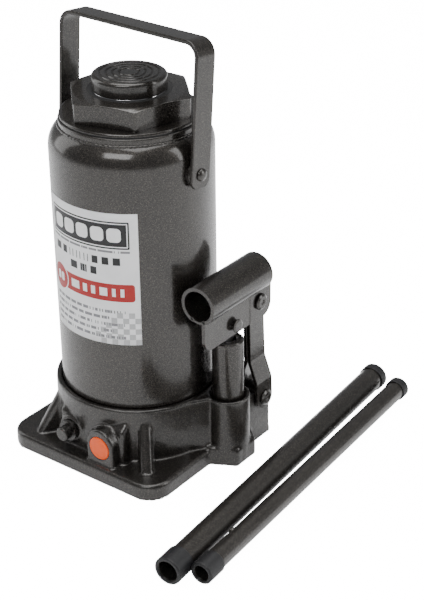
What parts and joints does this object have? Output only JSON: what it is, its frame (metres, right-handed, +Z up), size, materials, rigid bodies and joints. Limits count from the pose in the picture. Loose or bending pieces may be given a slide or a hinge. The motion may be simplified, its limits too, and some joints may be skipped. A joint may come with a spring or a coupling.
{
  "type": "hydraulic bottle jack",
  "caption": "Hydraulic bottle jack with a round oil tank, hexagonal gland nut, ridged saddle, carrying bail, lever pump with handle socket and a two-piece tube handle.",
  "frame": {"origin": "centre line of the ram, on the underside of the base", "axes": "+Z up along the ram, +X towards the pump, -Y towards the operator, where the valves and the mouth of the handle socket face"},
  "size_m": [0.228, 0.2936, 0.3179],
  "materials": {
    "enamel": "glossy metallic enamel with a fine flake",
    "casting_paint": "glossy enamel over a rough casting",
    "bare_steel": "turned",
    "polished_steel": "polished",
    "bush_bronze": "turned",
    "gasket_copper": "soft copper",
    "black_rubber": "matt",
    "orange_plastic": "moulded",
    "black_plastic": "moulded",
    "label_paper": "printed film with plain shapes, no lettering"
  },
  "bodies": {
    "jack": {"base_casting": "casting_paint", "reservoir_tank": "enamel", "hydraulic_cylinder": "bare_steel", "top_nut": "enamel", "ram_wiper_seal": "black_rubber", "ram_guide_bush": "bush_bronze", "tank_top_gasket": "black_rubber", "tank_foot_gasket": "black_rubber", "cylinder_foot_gasket": "gasket_copper", "bail_lugs": "enamel", "bail_rivets": "enamel", "pump_cylinder": "enamel", "pump_foot_gasket": "gasket_copper", "delivery_plug": "bare_steel", "suction_filter": "bare_steel", "relief_spring": "bare_steel", "relief_screw": "bare_steel", "relief_cover_plug": "orange_plastic", "filler_plug": "black_rubber", "label": "label_paper"},
    "ram_group": {"ram": "polished_steel", "ram_piston": "bare_steel", "piston_seal": "black_rubber", "piston_ring": "bare_steel", "saddle": "enamel"},
    "bail": {"carry_bail": "enamel"},
    "plunger": {"pump_plunger": "bare_steel", "plunger_seal": "black_rubber"},
    "link": {"link_plate_left": "enamel", "link_plate_right": "enamel", "link_lower_pin": "enamel", "link_upper_pin": "enamel"},
    "socket": {"handle_socket": "enamel", "plunger_pin": "enamel"},
    "suction_valve": {"suction_ball": "polished_steel"},
    "delivery_valve": {"delivery_ball": "polished_steel"},
    "relief_valve": {"relief_ball": "polished_steel"},
    "release_valve": {"release_ball": "polished_steel"},
    "release_screw": {"release_valve_screw": "casting_paint", "release_seal": "black_rubber"},
    "handle_lower": {"handle_lower_tube": "enamel", "handle_lower_collars": "black_plastic"},
    "handle_upper": {"handle_upper_tube": "enamel", "handle_upper_collars": "black_plastic", "handle_upper_detent": "enamel"}
  },
  "joints": [
    {"name": "ram_lift", "type": "slide", "parent": "jack", "child": "ram_group", "axis": [0, 0, 1], "range_m": [0, 0.18]},
    {"name": "bail_swing", "type": "hinge", "parent": "jack", "child": "bail", "pos_m": [0, 0, 0.2265], "axis": [-0.9986, 0.0523, 0], "range_deg": [0, 125]},
    {"name": "link_swing", "type": "hinge", "parent": "jack", "child": "link", "pos_m": [0.0735, 0.0447, 0.0361], "axis": [1, 0, 0], "range_deg": [0, 3.5]},
    {"name": "handle_pump", "type": "hinge", "parent": "link", "child": "socket", "pos_m": [0.0735, 0.0411, 0.1171], "axis": [-1, 0, 0], "range_deg": [0, 52]},
    {"name": "plunger_stroke", "type": "slide", "parent": "jack", "child": "plunger", "axis": [0, 0, 1], "range_m": [0, 0.025]},
    {"name": "release_ball_travel", "type": "slide", "parent": "jack", "child": "release_valve", "axis": [0, -1, 0], "range_m": [0, 0.0024]},
    {"name": "release_turn", "type": "hinge", "parent": "release_valve", "child": "release_screw", "pos_m": [-0.0155, -0.0655, 0.0267], "axis": [0, -1, 0], "range_deg": [0, 540]},
    {"name": "suction_ball_lift", "type": "slide", "parent": "jack", "child": "suction_valve", "axis": [0, 0, 1], "range_m": [0, 0.0015]},
    {"name": "delivery_ball_lift", "type": "slide", "parent": "jack", "child": "delivery_valve", "axis": [0, 0, 1], "range_m": [0, 0.0015]},
    {"name": "relief_ball_lift", "type": "slide", "parent": "jack", "child": "relief_valve", "axis": [0, -1, 0], "range_m": [0, 0.0005], "stiffness_N_per_m": 2000},
    {"name": "handle_lower_lift", "type": "slide", "parent": "jack", "child": "handle_lower", "axis": [0, 0, 1], "range_m": [0, 0.3]},
    {"name": "handle_upper_lift", "type": "slide", "parent": "jack", "child": "handle_upper", "axis": [0, 0, 1], "range_m": [0, 0.3]}
  ],
  "couplings": [
    {"joint": "bail_swing", "follows": "ram_lift", "rad_per_m": 12.1},
    {"joint": "link_swing", "follows": "handle_pump", "ratio": 0.063},
    {"joint": "plunger_stroke", "follows": "handle_pump", "m_per_rad": 0.02725},
    {"joint": "release_ball_travel", "follows": "release_turn", "m_per_rad": 0.00023873}
  ]
}
